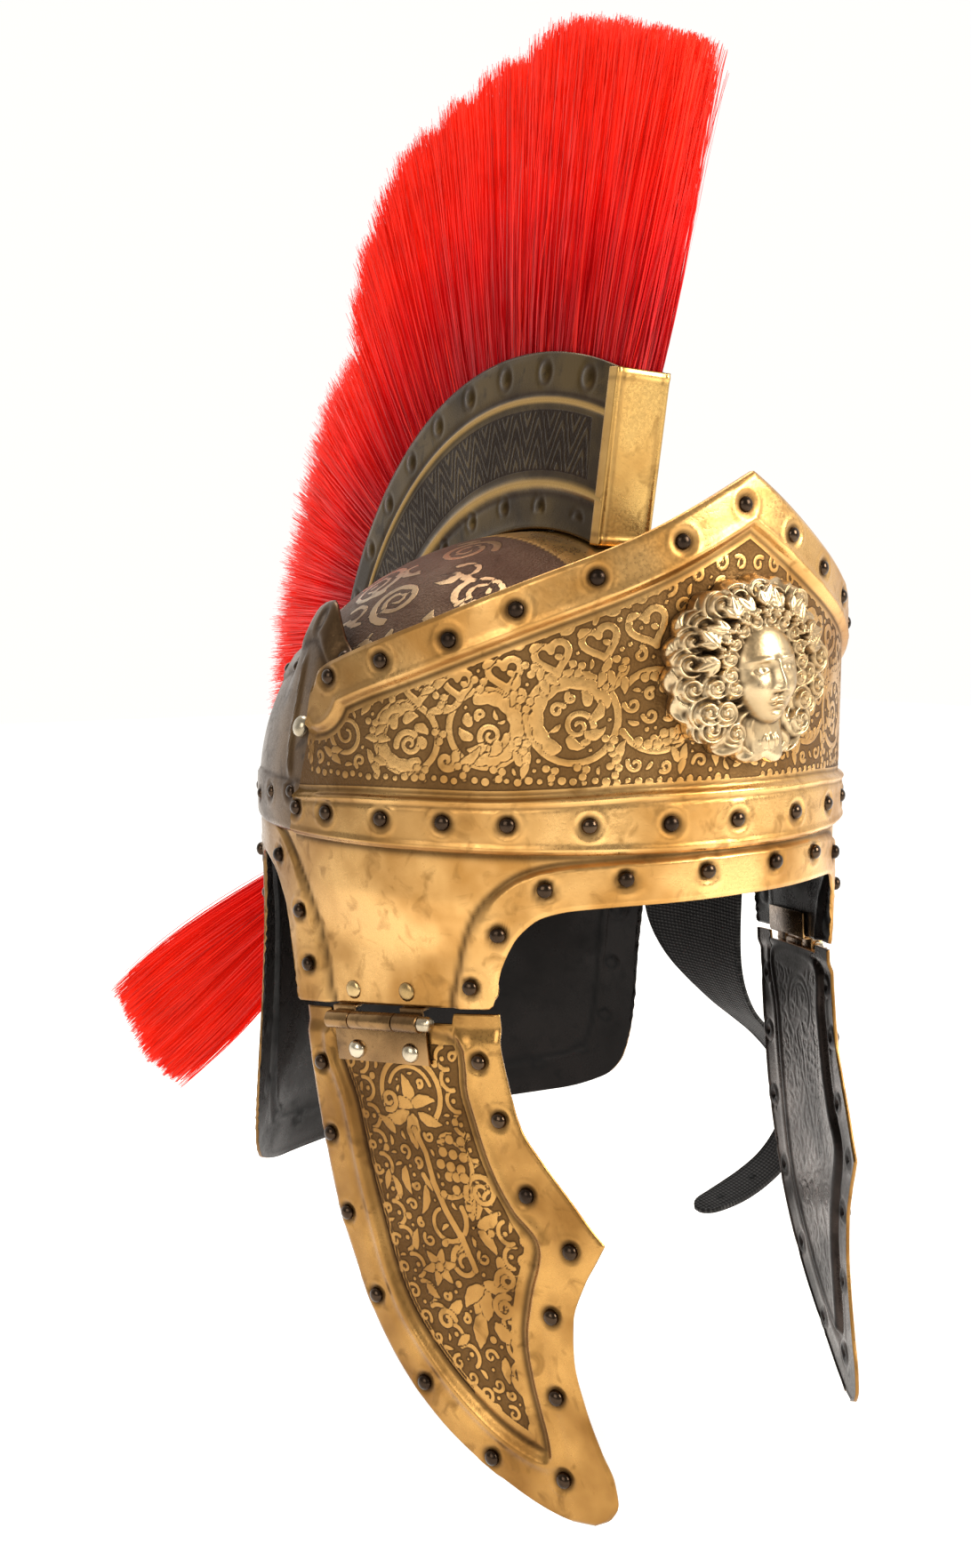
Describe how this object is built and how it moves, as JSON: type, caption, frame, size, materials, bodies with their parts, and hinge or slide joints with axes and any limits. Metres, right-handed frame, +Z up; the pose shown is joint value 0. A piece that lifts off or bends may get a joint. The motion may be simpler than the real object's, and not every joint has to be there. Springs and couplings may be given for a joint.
{
  "type": "roman praetorian helmet",
  "caption": "Brass parade helmet with peaked brow plate, relief medallion, hinged cheek guards, flared neck guard and a tall red bristle crest.",
  "frame": {"origin": "inside of the crown, where the head bears, in the middle plane", "axes": "+Z up, the helmet faces -Y, the wearer's right is -X"},
  "size_m": [0.2893, 0.4476, 0.5297],
  "materials": {
    "antique_brass": "polished antique brass, darkened in the hollows",
    "dark_brass": "dark patinated brass",
    "cast_brass": "pale cast brass, dark in the recesses",
    "bright_rivet": "bright plated",
    "black_leather": "stitched black leather",
    "red_bristle": "glossy red bristle"
  },
  "bodies": {
    "helmet": {"skull": "antique_brass", "brow_plate": "antique_brass", "rear_plate": "dark_brass", "medallion": "cast_brass", "crest_box": "dark_brass", "plume_front": "red_bristle", "plume_rear": "red_bristle", "plume_tail": "red_bristle", "hinge_upper_leaf_right": "dark_brass", "hinge_upper_leaf_left": "dark_brass", "hinge_pin_right": "dark_brass", "hinge_pin_left": "dark_brass", "flat_rivet_1_right": "antique_brass", "flat_rivet_2_right": "antique_brass", "flat_rivet_1_left": "antique_brass", "flat_rivet_2_left": "antique_brass", "side_rivet_right": "bright_rivet", "side_rivet_left": "bright_rivet", "chin_strap_left": "black_leather", "chin_strap_right": "black_leather", "strap_buckle": "bright_rivet"},
    "cheek_right": {"cheek_guard_right": "antique_brass", "hinge_lower_leaf_right": "dark_brass", "domed_rivet_1_right": "bright_rivet", "domed_rivet_2_right": "bright_rivet"},
    "cheek_left": {"cheek_guard_left": "antique_brass", "hinge_lower_leaf_left": "dark_brass", "domed_rivet_1_left": "bright_rivet", "domed_rivet_2_left": "bright_rivet"}
  },
  "joints": [
    {"name": "cheek_hinge_right", "type": "hinge", "parent": "helmet", "child": "cheek_right", "pos_m": [-0.10332, -0.04887, -0.17575], "axis": [-0.4032, 0.9065, -0.1253], "range_deg": [-12, 110]},
    {"name": "cheek_hinge_left", "type": "hinge", "parent": "helmet", "child": "cheek_left", "pos_m": [0.10332, -0.04887, -0.17575], "axis": [-0.4032, -0.9065, 0.1253], "range_deg": [-12, 110]}
  ]
}
